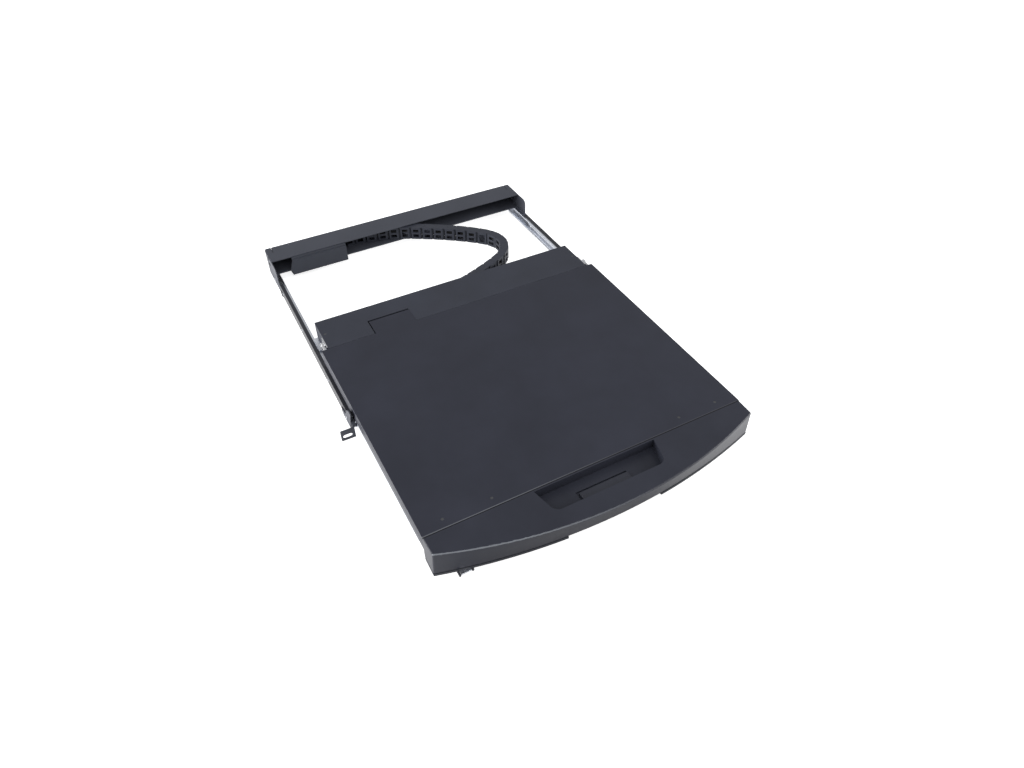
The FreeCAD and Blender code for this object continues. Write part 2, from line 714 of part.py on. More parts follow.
def latch_groove():
    """Shallow groove in the recess floor along the latch's rear edge and its left end."""
    left = -LATCH_HALF - LATCH_GROOVE
    low = RECESS_FLOOR - LATCH_GROOVE_DEPTH
    rear = box(left, LATCH_HALF, LATCH_REAR, LATCH_REAR + LATCH_GROOVE, low, RECESS_FLOOR + 1)
    return rear.fuse(box(left, -LATCH_HALF, RECESS_FRONT_Y, LATCH_REAR + 0.1, low, RECESS_FLOOR + 1))


def latch_slot():
    """Opening at the foot of the recess's front wall, into which the latch moves."""
    outside = LATCH_HALF + 0.1
    front = RECESS_FRONT_Y - 2 * BEZEL_WALL
    return box(-outside, outside, front, RECESS_FRONT_Y + 1, RECESS_FLOOR, RECESS_FLOOR + LATCH_THICK + 0.1)


def handle_latch():
    """The flat slider at the front of the handle recess, which the fingers draw towards the front."""
    low = RECESS_FLOOR
    return box(-LATCH_HALF, LATCH_HALF, LATCH_FRONT, LATCH_REAR, low, low + LATCH_THICK)


def tray_front():
    """Lip of the drawer under the bezel: bowed like it, with the finger cut-out and the catch's two guides."""
    low = bezel_wire(BEZEL_HALF_LOW, BOW_LOW, LIP_LOW, 0)
    lip = Part.Face(low).extrude(vec(0, 0, LIP_TOP - LIP_LOW))
    front = bow_y(BEZEL_HALF_LOW, BOW_LOW, BEZEL_CORNER_Y)
    cut = plan(
        [
            (-FINGER_HALF_FRONT, front - 5), (FINGER_HALF_FRONT, front - 5),
            (FINGER_HALF_REAR, front + FINGER_DEPTH), (-FINGER_HALF_REAR, front + FINGER_DEPTH),
        ],
        LIP_LOW - 1, LIP_TOP + 1,
    )
    back = box(-TRAY_HALF, TRAY_HALF, SEAM_Y, SEAM_Y + 1, TRAY_FLOOR, DECK_TOP - THIN)
    pieces = [lip.cut(cut), back]
    half = PRONG_SIZE[0] / 2
    for x in PRONG_X:
        y = PRONG_REAR_Y
        pieces.append(box(x - half, x + half, y, y + PRONG_SIZE[1], PRONG_LOW, LIP_LOW))
    return fuse(pieces)


def release_catch():
    """Push tab between the two guides under the lip."""
    half = PRONG_SIZE[0] / 2 + FIT
    y = PRONG_REAR_Y + 0.5
    return box(PRONG_X[0] + half, PRONG_X[1] - half, y, y + 9, LIP_LOW - 1.8, LIP_LOW)


def key_rows():
    """Key widths in pitches for each row, from the rear; negative values are gaps."""
    block = [13 * [1] + [2], [1.5] + 12 * [1] + [1.5], [1.75] + 11 * [1] + [2.25]]
    block.append([2.25] + 10 * [1] + [2.75])
    functions = [1, -1] + 4 * [1] + [-0.5] + 4 * [1] + [-0.5] + 4 * [1] + [-0.25] + 3 * [1]
    pads = [[1, 1, 1], [1, 1, 1], [-3], [-1, 1, -1], [1, 1, 1]]
    numbers = [[1, 1, 1, 1], [1, 1, 1, 1], [1, 1, 1, 1], [1, 1, 1, 1], [2, 1, 1]]
    block.append([1.25, 1.25, 1.25, -6.25, 1.25, 1.25, 1.25, 1.25])
    rows = [functions]
    for keys, pad, number in zip(block, pads, numbers):
        rows.append(keys + [-0.25] + pad + [-0.25] + number)
    return rows


KEY_SPACE = 0.25  # extra gap, in pitches, behind the first row


def key_row_y(row):
    """Front and rear Y of a row of keys."""
    rear = KEY_AREA_Y1 - row * KEY_PITCH - (KEY_SPACE * KEY_PITCH if row else 0)
    return rear - KEY_PITCH, rear


def key(x0, x1, y0, y1):
    """A keycap with sloping sides, on a stem that reaches through the base."""
    gap = KEY_GAP / 2
    foot = [(x0 + gap, y0 + gap), (x1 - gap, y0 + gap), (x1 - gap, y1 - gap), (x0 + gap, y1 - gap)]
    inset = [(KEY_TAPER, KEY_TAPER), (-KEY_TAPER, KEY_TAPER), (-KEY_TAPER, -KEY_TAPER), (KEY_TAPER, -KEY_TAPER)]
    head = [(x + dx, y + dy) for (x, y), (dx, dy) in zip(foot, inset)]
    wires = []
    for outline, z in ((foot, KEY_LOW), (head, KEY_TOP)):
        points = [vec(x, y, z) for x, y in outline]
        wires.append(Part.makePolygon(points + points[:1]))
    return fuse([Part.makeLoft(wires, True, True), key_stem(x0, x1, y0, y1, STEM_R)])


def key_stem(x0, x1, y0, y1, radius):
    return rod_z((x0 + x1) / 2, (y0 + y1) / 2, KEY_PLATE_TOP - THIN - 0.5, KEY_LOW, radius)


def key_places():
    """Plan rectangle of each keycap; the space bar is the widest one."""
    places = []
    for row, widths in enumerate(key_rows()):
        y0, y1 = key_row_y(row)
        x = KEY_AREA_X0
        for width in widths:
            if width > 0:
                places.append((x, x + width * KEY_PITCH, y0, y1))
            x += abs(width) * KEY_PITCH
    return places


def keycaps():
    return group([key(*place) for place in key_places()])


def space_bar_place():
    y0, y1 = key_row_y(5)
    x = KEY_AREA_X0 + 3.75 * KEY_PITCH
    return x, x + 6.25 * KEY_PITCH, y0, y1


def space_bar():
    return key(*space_bar_place())


def key_field(grow, z0, z1):
    """The rectangle that the keys fill."""
    width = 22.5 * KEY_PITCH
    y0 = key_row_y(5)[0]
    return box(
        KEY_AREA_X0 - grow, KEY_AREA_X0 + width + grow, y0 - grow, KEY_AREA_Y1 + grow, z0, z1
    )


def keyboard_deck():
    """Top plate of the tray with the openings for the keys and the touchpad."""
    deck = box(-TRAY_HALF, TRAY_HALF, SEAM_Y + 1, HINGE_LINE_Y, DECK_TOP - THIN, DECK_TOP)
    pad = box(
        -TOUCHPAD_HALF - PAD_PIECE_GAP, TOUCHPAD_HALF + PAD_PIECE_GAP,
        TOUCHPAD_Y[0] - PAD_BUTTON_DEPTH - 2 * PAD_PIECE_GAP, TOUCHPAD_Y[1] + PAD_PIECE_GAP,
        DECK_TOP - 2 * THIN, DECK_TOP + 1,
    )
    return deck.cut(key_field(PAD_PIECE_GAP, DECK_TOP - 2 * THIN, DECK_TOP + 1)).cut(pad)


def keyboard_plate():
    """Base under the keys, hung from the deck by a rim."""
    outer = key_field(4.0, KEY_PLATE_TOP - THIN, DECK_TOP - THIN)
    stems = [key_stem(*place, STEM_R + PIN_CLEAR) for place in key_places() + [space_bar_place()]]
    return outer.cut(key_field(2.0, KEY_PLATE_TOP, DECK_TOP)).cut(group(stems))


def touchpad():
    """Sensor plate with a foot that carries it from the deck's underside."""
    plate = box(-TOUCHPAD_HALF, TOUCHPAD_HALF, TOUCHPAD_Y[0], TOUCHPAD_Y[1], DECK_TOP - THIN, DECK_TOP - 0.3)
    y0 = TOUCHPAD_Y[0] - PAD_BUTTON_DEPTH - 6
    foot = box(-TOUCHPAD_HALF - 6, TOUCHPAD_HALF + 6, y0, TOUCHPAD_Y[1] + 6, DECK_TOP - 3 * THIN, DECK_TOP - THIN)
    room = box(
        -TOUCHPAD_HALF - 1, TOUCHPAD_HALF + 1, TOUCHPAD_Y[0] - PAD_BUTTON_DEPTH - 2, TOUCHPAD_Y[0] + 0.5,
        DECK_TOP - 2 * THIN, DECK_TOP,
    )
    stems = [pad_button_stem(STEM_R + PIN_CLEAR), mirrored(pad_button_stem(STEM_R + PIN_CLEAR))]
    return fuse([plate, foot]).cut(room).cut(group(stems))


def pad_button_stem(radius):
    y = TOUCHPAD_Y[0] - PAD_PIECE_GAP - PAD_BUTTON_DEPTH / 2
    return rod_z(TOUCHPAD_HALF / 2, y, DECK_TOP - 3 * THIN - 0.5, DECK_TOP - 0.9, radius)


def touchpad_button():
    """The right-hand button in front of the touchpad."""
    y1 = TOUCHPAD_Y[0] - PAD_PIECE_GAP + 0.2
    cap = box(
        PAD_PIECE_GAP / 2, TOUCHPAD_HALF, y1 - PAD_BUTTON_DEPTH, y1, DECK_TOP - 0.9, DECK_TOP + 0.4
    )
    return fuse([cap, pad_button_stem(STEM_R)])


def rear_housing_cover():
    """Box over the drawer's rear end, open below and behind, with the notch for the lid's tongue."""
    front = HINGE_LINE_Y + LINE_GAP
    floor = TRAY_FLOOR + THIN
    outer = box(-TRAY_HALF, TRAY_HALF, front, HOUSING_REAR, floor, TOP)
    edge = [e for e in outer.Edges if e.BoundBox.YMax < front + 0.01 and e.BoundBox.ZMin > TOP - 0.01]
    outer = outer.makeFillet(HOUSING_ROUND, edge)
    inner = TRAY_HALF - SHEET
    room = box(-inner, inner, front + SHEET, HOUSING_REAR + 1, floor - 1, TOP - SHEET)
    notch = box(
        TONGUE_LEFT - TONGUE_SLOT, TONGUE_RIGHT + FIT / 2, front - 1, TONGUE_REAR + TONGUE_REAR_SLOT, DECK_TOP, TOP + 1
    )
    holes = [
        rod_z(sign * x, y, TOP - SHEET - 1, TOP + 1, SCREW_R + PIN_CLEAR)
        for sign in (-1, 1) for x, y in HOUSING_SCREWS
    ]
    return outer.cut(room).cut(notch).cut(group(holes))




def housing_screws():
    """Flush screws of the housing, each in the boss of a standoff."""
    made = []
    for sign in (-1, 1):
        for x, y in HOUSING_SCREWS:
            head = rod_z(sign * x, y, TOP - SHEET, TOP - 0.3, SCREW_R)
            shank = rod_z(sign * x, y, TOP - SHEET - 6, TOP - SHEET, SCREW_R * 0.6)
            made.append(fuse([head, shank]))
    return group(made)


def board_standoffs():
    """Posts on the tray floor: four low ones for the board and two tall ones for the housing screws."""
    floor = TRAY_FLOOR + THIN
    posts = [rod_z(x, y, floor, BOARD_LOW, STANDOFF_R) for x, y in BOARD_POSTS]
    for sign in (-1, 1):
        for x, y in HOUSING_SCREWS:
            post = rod_z(sign * x, y, floor, TOP - SHEET, STANDOFF_R)
            posts.append(post.cut(rod_z(sign * x, y, TOP - SHEET - 7, TOP, SCREW_R * 0.6 + PIN_CLEAR)))
    return group(posts)


BOARD_LOW = TRAY_FLOOR + THIN + 4
BOARD_X = (-83.1, 182.3)
BOARD_Y = (149.9, 202.6)
BOARD_POSTS = [(x, y) for x in (BOARD_X[0] + 6, BOARD_X[1] - 6) for y in (BOARD_Y[0] + 6, BOARD_Y[1] - 6)]


# X, length, Y, width and height of the larger parts on the board
CHIPS = (
    (-40, 24, 154, 24, 2), (0, 18, 156, 18, 1.8), (34, 30, 158, 14, 6), (84, 20, 154, 32, 9),
    (122, 10, 156, 10, 12), (138, 10, 156, 10, 12),
)


def control_board():
    """Circuit board of the console with its larger parts, in one piece."""
    top = BOARD_LOW + 1.6
    board = box(BOARD_X[0], BOARD_X[1], BOARD_Y[0], BOARD_Y[1], BOARD_LOW, top)
    chips = [box(x, x + length, y, y + width, top, top + height) for x, length, y, width, height in CHIPS]
    x, y = cable_route()[-1]
    return fuse([board, connector_block(x, y, y + CABLE_R + 2, top)] + chips)


def rear_panel():
    """Rear wall of the housing, open where the cable chain runs in."""
    inner = TRAY_HALF - SHEET
    panel = box(-inner, inner, HOUSING_REAR - SHEET, HOUSING_REAR, TRAY_FLOOR + THIN, TOP - SHEET)
    x0, x1 = PANEL_OPENING
    return panel.cut(box(x0, x1, HOUSING_REAR - SHEET - 1, HOUSING_REAR + 1, -4, TOP))


def hinge_mount():
    """Plate on the housing's side that carries the hinge pin."""
    return box(
        TRAY_HALF, TRAY_HALF + SHEET, HINGE_Y - 11, HINGE_Y + 12, RAIL_TOP + FIT, HINGE_Z + HINGE_EYE_R
    ).cut(rod_x(TRAY_HALF - 1, ARM_INNER, HINGE_Y, HINGE_Z, HINGE_PIN_R + PIN_CLEAR))


def hinge_pin():
    """Pin with a collar between the plate and the arm, and a round head outside the arm."""
    outside = ARM_INNER + ARM_THICK
    shank = rod_x(TRAY_HALF, outside, HINGE_Y, HINGE_Z, HINGE_PIN_R)
    collar = rod_x(TRAY_HALF + SHEET, ARM_INNER, HINGE_Y, HINGE_Z, HINGE_PIN_R + 1.0)
    return fuse([shank, collar, rod_x(outside, outside + 1.2, HINGE_Y, HINGE_Z, HINGE_PIN_R + 1.2)])


def hinge_arm():
    """Arm under the lid's top plate that reaches back to the pin."""
    outer = ARM_INNER + ARM_THICK
    bar = box(ARM_INNER, outer, ARM_FRONT, HINGE_Y, LID_PARTING + FIT, TOP - SHEET)
    eye = rod_x(ARM_INNER, outer, HINGE_Y, HINGE_Z, HINGE_EYE_R)
    flange = box(ARM_INNER - 12, outer, ARM_FRONT, HINGE_LINE_Y - 8, TOP - 2 * SHEET, TOP - SHEET)
    bore = rod_x(ARM_INNER - 1, outer + 1, HINGE_Y, HINGE_Z, HINGE_PIN_R + PIN_CLEAR)
    return fuse([bar, eye, flange]).cut(bore)


def arm_slot():
    """Opening in the lid's rear wall for one hinge arm."""
    return box(
        ARM_INNER - FIT, ARM_INNER + ARM_THICK + FIT, HINGE_LINE_Y - 2 * SHEET, HINGE_LINE_Y + 1,
        LID_PARTING - 1, TOP - SHEET,
    )


def lid_cover():
    """Rear cover of the display: top plate with the tongue, and a rim down to the parting line."""
    outer = box(-LID_HALF, LID_HALF, SEAM_Y, HINGE_LINE_Y, LID_PARTING, TOP)
    room = box(
        -LID_HALF + SHEET, LID_HALF - SHEET, SEAM_Y + SHEET, HINGE_LINE_Y - SHEET, LID_PARTING - 1, TOP - SHEET
    )
    tongue = box(TONGUE_LEFT, TONGUE_RIGHT, HINGE_LINE_Y - 1, TONGUE_REAR, TOP - SHEET, TOP)
    holes = [rod_z(x, LID_SCREW_Y, TOP - SHEET - 1, TOP + 1, SCREW_R + PIN_CLEAR) for x in LID_SCREW_X]
    cover = fuse([outer.cut(room), tongue])
    return cover.cut(group([arm_slot(), mirrored(arm_slot())] + holes))


def lid_screws():
    """Four flush screws along the seam, each in a boss of the frame below."""
    made = []
    for x in LID_SCREW_X:
        head = rod_z(x, LID_SCREW_Y, TOP - SHEET, TOP - 0.2, SCREW_R)
        made.append(fuse([head, rod_z(x, LID_SCREW_Y, TOP - SHEET - 6, TOP - SHEET, SCREW_R * 0.6)]))
    return group(made)


def lcd_frame():
    """Front frame of the display, facing down over the keys."""
    outer = box(-LID_HALF, LID_HALF, SEAM_Y, HINGE_LINE_Y, LID_LOW, LID_PARTING)
    room = box(
        -LID_HALF + SHEET, LID_HALF - SHEET, SEAM_Y + SHEET, HINGE_LINE_Y - SHEET,
        LID_LOW + SHEET, LID_PARTING + 1,
    )
    window = box(
        -WINDOW_X / 2, WINDOW_X / 2, WINDOW_CENTRE_Y - WINDOW_Y / 2, WINDOW_CENTRE_Y + WINDOW_Y / 2,
        LID_LOW - 1, LID_LOW + SHEET + 1,
    )
    holes = [rod_z(x, OSD_Y, LID_LOW - 1, LID_LOW + SHEET + 1, OSD_R + FIT) for x in OSD_X]
    frame = outer.cut(room).cut(window).cut(group(holes))
    bosses = []
    for x in LID_SCREW_X:
        boss = rod_z(x, LID_SCREW_Y, LID_LOW + SHEET, TOP - SHEET, STANDOFF_R)
        bosses.append(boss.cut(rod_z(x, LID_SCREW_Y, TOP - SHEET - 7, TOP, SCREW_R * 0.6 + PIN_CLEAR)))
    return fuse([frame] + bosses)


def lcd_panel():
    border = PANEL_BORDER
    return box(
        -WINDOW_X / 2 - border, WINDOW_X / 2 + border,
        WINDOW_CENTRE_Y - WINDOW_Y / 2 - border, WINDOW_CENTRE_Y + WINDOW_Y / 2 + border,
        LID_LOW + SHEET, LID_LOW + SHEET + 4,
    )


def lcd_back_tray():
    """Steel tray behind the panel, up against the lid's top plate."""
    grow = PANEL_BORDER + 1
    x = WINDOW_X / 2 + grow
    y0 = WINDOW_CENTRE_Y - WINDOW_Y / 2 - grow
    y1 = WINDOW_CENTRE_Y + WINDOW_Y / 2 + grow
    low = LID_LOW + SHEET + 4
    return box(-x, x, y0, y1, low, TOP - SHEET).cut(box(-x + 8, x - 8, y0 + 8, y1 - 8, low + THIN, TOP))


def osd_button(x):
    """A round button that stands proud of the frame, kept in by a flange inside."""
    stem = rod_z(x, OSD_Y, LID_LOW - 0.6, LID_LOW + SHEET, OSD_R)
    return fuse([stem, rod_z(x, OSD_Y, LID_LOW + SHEET, LID_LOW + SHEET + 0.8, OSD_R + 1.2)])


def save_fixed_frame():
    save_pair("outer_rail", outer_rail())
    save_pair("cabinet_member", cabinet_member())
    save_pair("front_bracket", front_bracket())
    save_pair("rear_bracket", rear_bracket())
    save("rear_crossbar", rear_crossbar())
    save("chain_cover", chain_cover())
    save("rail_rivets", group(rivets() + [mirrored(r) for r in rivets()]))
    save("rail_end_caps", group(rail_end_caps() + [mirrored(c) for c in rail_end_caps()]))
    save("crossbar_screws", group(bar_screws() + [mirrored(s) for s in bar_screws()]))


def save_chain():
    save("chain_links", chain_links())
    save("chain_anchor_fixed", chain_anchor_fixed())
    save("chain_anchor_moving", chain_anchor_moving())
    save("chain_cable", cable(cable_route(), CABLE_R, CABLE_Z))
    save("rear_connector", rear_connector())


def save_drawer():
    save("keyboard_tray", keyboard_tray())
    save("tray_front", tray_front())
    save("keyboard_deck", keyboard_deck())
    save("keyboard_plate", keyboard_plate())
    save("touchpad", touchpad())
    save("rear_housing_cover", rear_housing_cover())
    save("rear_panel", rear_panel())
    save("control_board", control_board())
    save("board_standoffs", board_standoffs())
    save("housing_screws", housing_screws())
    save_pair("drawer_member", drawer_member())
    save_pair("hinge_mount", hinge_mount())
    save("hinge_pins", group([hinge_pin(), mirrored(hinge_pin())]))
    save("keycaps", keycaps())
    save("space_bar", space_bar())
    save_pair("touchpad_button", touchpad_button())
    save("release_catch", release_catch())
    save_pair("slide_lever", slide_lever())


def save_lid():
    save("lid_cover", lid_cover())
    save("front_bezel", front_bezel())
    save("lcd_frame", lcd_frame())
    save("lcd_panel", lcd_panel())
    save("lcd_back_tray", lcd_back_tray())
    save("lid_screws", lid_screws())
    save_pair("hinge_arm", hinge_arm())
    save("handle_latch", handle_latch())
    for number, x in enumerate(OSD_X, 1):
        save(f"osd_button_{number}", osd_button(x))


os.makedirs("parts", exist_ok=True)
save_fixed_frame()
save_pair("mid_member", mid_member())
save_pair("ball_cages", ball_cages())
save_chain()
save_drawer()
save_lid()
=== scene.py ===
"""Looks of the rackmount console drawer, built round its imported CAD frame. Metres, in the CAD's own frame."""

import json
import math

import bmesh
import bpy
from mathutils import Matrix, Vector


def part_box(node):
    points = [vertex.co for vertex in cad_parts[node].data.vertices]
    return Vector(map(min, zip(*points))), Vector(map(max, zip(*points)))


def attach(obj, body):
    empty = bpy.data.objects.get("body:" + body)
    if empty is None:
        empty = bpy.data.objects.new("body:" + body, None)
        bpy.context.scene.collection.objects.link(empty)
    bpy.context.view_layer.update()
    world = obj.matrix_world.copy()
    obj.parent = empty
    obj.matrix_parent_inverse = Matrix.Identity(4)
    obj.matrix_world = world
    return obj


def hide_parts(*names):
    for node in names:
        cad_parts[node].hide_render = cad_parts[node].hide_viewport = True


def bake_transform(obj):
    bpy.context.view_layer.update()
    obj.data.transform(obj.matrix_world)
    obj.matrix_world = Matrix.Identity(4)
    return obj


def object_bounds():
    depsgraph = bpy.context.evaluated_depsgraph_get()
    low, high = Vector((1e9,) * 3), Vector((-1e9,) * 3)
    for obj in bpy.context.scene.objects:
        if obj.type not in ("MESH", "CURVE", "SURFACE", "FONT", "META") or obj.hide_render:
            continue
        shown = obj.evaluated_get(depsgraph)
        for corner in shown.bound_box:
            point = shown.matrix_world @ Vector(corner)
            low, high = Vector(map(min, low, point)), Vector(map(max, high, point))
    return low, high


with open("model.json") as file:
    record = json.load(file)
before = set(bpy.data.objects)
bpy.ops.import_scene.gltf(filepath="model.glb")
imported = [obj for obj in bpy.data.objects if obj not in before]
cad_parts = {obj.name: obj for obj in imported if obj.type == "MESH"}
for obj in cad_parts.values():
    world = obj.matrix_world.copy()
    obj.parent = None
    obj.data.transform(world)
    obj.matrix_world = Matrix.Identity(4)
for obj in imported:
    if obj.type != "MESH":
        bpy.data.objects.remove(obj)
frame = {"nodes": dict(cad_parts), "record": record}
cad_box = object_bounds()
scene = bpy.context.scene
MM = 0.001
SIDES = ("left", "right")

# Camera: where it stands and which way it looks.
AZIMUTH = math.radians(-28.43)
ELEVATION = math.radians(43.75)
CAMERA_PLACE = Vector((-0.3496, -0.6590, 0.6985))
SENSOR_WIDTH = 36.0
FOCAL_LENGTH = 25.83
towards_camera = Vector(
    (
        math.sin(AZIMUTH) * math.cos(ELEVATION),
        -math.cos(AZIMUTH) * math.cos(ELEVATION),
        math.sin(ELEVATION),
    )
)
camera = bpy.data.objects.new("camera", bpy.data.cameras.new("camera"))
scene.collection.objects.link(camera)
camera.location = CAMERA_PLACE
camera.rotation_mode = "QUATERNION"
camera.rotation_quaternion = (-towards_camera).to_track_quat("-Z", "Y")
camera.data.sensor_width = SENSOR_WIDTH
camera.data.lens = FOCAL_LENGTH
camera.data.clip_start = 0.01
scene.camera = camera
scene.view_settings.view_transform = "Standard"


# ---------------------------------------------------------------- materials
UNEVEN_SCALE = 14.0
UNEVEN_GLOSS = 0.03
ROLLING_STRETCH = 0.02
# Base colour of the painted highlights along the crest and the seam.
EDGE_BASE = (0.030, 0.032, 0.043)


def new_material(name, color, roughness, metallic=0.0):
    """A material, its node tree and its shader."""
    material = bpy.data.materials.new(name)
    material.use_nodes = True
    tree = material.node_tree
    shader = tree.nodes["Principled BSDF"]
    shader.inputs["Base Color"].default_value = (*color, 1.0)
    shader.inputs["Roughness"].default_value = roughness
    shader.inputs["Metallic"].default_value = metallic
    return material, tree, shader


def coordinates(tree, scale=(1, 1, 1)):
    """Object coordinates, stretched by scale."""
    place = tree.nodes.new("ShaderNodeTexCoord")
    mapping = tree.nodes.new("ShaderNodeMapping")
    mapping.inputs["Scale"].default_value = scale
    tree.links.new(place.outputs["Object"], mapping.inputs["Vector"])
    return mapping.outputs["Vector"]


def noise(tree, vector, scale, detail=2.0, roughness=0.5):
    """A noise value, finer as scale grows."""
    texture = tree.nodes.new("ShaderNodeTexNoise")
    texture.inputs["Scale"].default_value = scale
    texture.inputs["Detail"].default_value = detail
    texture.inputs["Roughness"].default_value = roughness
    tree.links.new(vector, texture.inputs["Vector"])
    return texture.outputs["Fac"]


def spread(tree, value, low, high, start=0.3, stop=0.7):
    """Maps a value from start to stop onto low to high, and holds it there outside."""
    node = tree.nodes.new("ShaderNodeMapRange")
    node.inputs["From Min"].default_value = start
    node.inputs["From Max"].default_value = stop
    node.inputs["To Min"].default_value = low
    node.inputs["To Max"].default_value = high
    tree.links.new(value, node.inputs["Value"])
    return node.outputs["Result"]


def mix_colors(tree, factor, first, second):
    """The first colour where factor is 0, and the second where it is 1."""
    node = tree.nodes.new("ShaderNodeMix")
    node.data_type = "RGBA"
    node.inputs["A"].default_value = (*first, 1.0)
    node.inputs["B"].default_value = (*second, 1.0)
    tree.links.new(factor, node.inputs["Factor"])
    return node.outputs["Result"]


def combine(tree, operation, first, second):
    """Joins two values by a Math node. Each is a socket or a plain number."""
    node = tree.nodes.new("ShaderNodeMath")
    node.operation = operation
    for value, socket in zip((first, second), node.inputs):
        if isinstance(value, float):
            socket.default_value = value
        else:
            tree.links.new(value, socket)
    return node.outputs[0]


def axes(tree, vector):
    """The X, Y and Z of a place, by name."""
    parts = tree.nodes.new("ShaderNodeSeparateXYZ")
    tree.links.new(vector, parts.inputs[0])
    return parts.outputs


def bump(tree, shader, height, strength, distance):
    """Raises the surface by a value, distance in metres."""
    node = tree.nodes.new("ShaderNodeBump")
    node.inputs["Strength"].default_value = strength
    node.inputs["Distance"].default_value = distance
    tree.links.new(height, node.inputs["Height"])
    tree.links.new(node.outputs["Normal"], shader.inputs["Normal"])


def painted(name, color, roughness, grain, depth, change=0.12, shine=0.3):
    """Powder coat or moulded plastic: fine grain, slightly uneven colour and gloss.

    grain is the scale of the fine noise, depth its height in metres, and change how far the colour varies.
    """
    material, tree, shader = new_material(name, color, roughness)
    shader.inputs["Specular IOR Level"].default_value = shine
    vector = coordinates(tree)
    fine = noise(tree, vector, grain, 3.0, 0.6)
    broad = noise(tree, vector, UNEVEN_SCALE, 4.0, 0.55)
    lighter = tuple(c * (1 + change) for c in color)
    darker = tuple(c * (1 - change) for c in color)
    tree.links.new(
        mix_colors(tree, spread(tree, broad, 0.0, 1.0), darker, lighter),
        shader.inputs["Base Color"],
    )
    tree.links.new(
        spread(tree, broad, roughness - UNEVEN_GLOSS, roughness + UNEVEN_GLOSS),
        shader.inputs["Roughness"],
    )
    bump(tree, shader, fine, 0.35, depth)
    return material


def rolled(name, color, roughness, direction, depth=0.00001):
    """Bare or plated sheet steel with fine lines along its rolling direction."""
    material, tree, shader = new_material(name, color, roughness, 1.0)
    stretch = [1.0, 1.0, 1.0]
    stretch[direction] = ROLLING_STRETCH
    lines = noise(tree, coordinates(tree, stretch), 1800.0, 2.0)
    patches = noise(tree, coordinates(tree), 30.0, 4.0)
    darker = tuple(c * 0.8 for c in color)
    tree.links.new(
        mix_colors(tree, spread(tree, patches, 0.0, 1.0), color, darker),
        shader.inputs["Base Color"],
    )
    tree.links.new(
        spread(tree, lines, roughness - 0.08, roughness + 0.10),
        shader.inputs["Roughness"],
    )
    bump(tree, shader, lines, 0.25, depth)
    return material


lid_paint = painted("lid_paint", (0.021, 0.023, 0.035), 0.50, 1500.0, 0.00002)
housing_paint = painted("housing_paint", (0.028, 0.031, 0.044), 0.50, 1500.0, 0.00002)
cover_plastic = painted("cover_plastic", (0.043, 0.047, 0.060), 0.50, 1500.0, 0.00002, 0.08, 0.2)
bezel_paint = painted("bezel_paint", (0.026, 0.028, 0.039), 0.36, 2200.0, 0.00001, shine=0.2)
frame_paint = painted("frame_paint", (0.054, 0.058, 0.073), 0.50, 1500.0, 0.00002, 0.08, 0.2)
tray_paint = painted("tray_paint", (0.030, 0.032, 0.040), 0.48, 1500.0, 0.00002)
# Painted shade: a near-black strip on the bezel that stands for the shadow in the gap at the lid's seam.
seam_painted_shade = painted("seam_painted_shade", (0.008, 0.008, 0.010), 0.6, 900.0, 0.00001, shine=0.1)
black_zinc = painted("black_zinc", (0.022, 0.023, 0.029), 0.35, 600.0, 0.000008)
latch_plastic = painted("latch_plastic", (0.026, 0.028, 0.038), 0.40, 2500.0, 0.00001)
chain_plastic = painted("chain_plastic", (0.028, 0.031, 0.043), 0.42, 1200.0, 0.00001)
key_plastic = painted("key_plastic", (0.020, 0.020, 0.021), 0.48, 2500.0, 0.00001)
base_plastic = painted("base_plastic", (0.014, 0.014, 0.015), 0.55, 1500.0, 0.00001)
cable_rubber = painted("cable_rubber", (0.010, 0.010, 0.010), 0.55, 900.0, 0.00001)
screw_black = painted("screw_black", (0.045, 0.047, 0.052), 0.30, 900.0, 0.000005, shine=0.5)
screen_glass = painted("screen_glass", (0.006, 0.006, 0.008), 0.12, 300.0, 0.0000005, 0.05, 0.5)
board_green = painted("board_green", (0.012, 0.075, 0.030), 0.35, 700.0, 0.00001, 0.25, 0.5)


def painted_highlight_edge(name, base, highlight_color):
    """A painted highlight: lighter colour along an edge, which fades to the base colour from left to right."""
    material, tree, shader = new_material(name, base, 0.40)
    vector = coordinates(tree)
    along = spread(tree, axes(tree, vector)["X"], 1.0, 0.0, -0.12, 0.05)
    tree.links.new(mix_colors(tree, along, base, highlight_color), shader.inputs["Base Color"])
    bump(tree, shader, noise(tree, vector, 900.0, 3.0), 0.3, 0.00001)
    return material


# Painted highlights along the bezel's crest and the lid's edge at the seam, brightest at the left.
crest_highlight = painted_highlight_edge("crest_highlight", EDGE_BASE, (0.13, 0.14, 0.16))
lid_edge_highlight = painted_highlight_edge("lid_edge_highlight", EDGE_BASE, (0.085, 0.09, 0.105))
zinc = rolled("zinc", (0.86, 0.89, 0.96), 0.26, 1)
bright_steel = rolled("bright_steel", (0.84, 0.85, 0.88), 0.22, 2)


# ---------------------------------------------------------------- pieces
SAME_POINT = 1e-6
SHARP_ANGLE = math.radians(30)
FLAT_ANGLE = math.radians(1)


def link(name, mesh, material):
    """Puts a mesh of one material into the scene as a piece."""
    piece = bpy.data.objects.new(name, mesh)
    mesh.materials.clear()
    mesh.materials.append(material)
    scene.collection.objects.link(piece)
    return piece


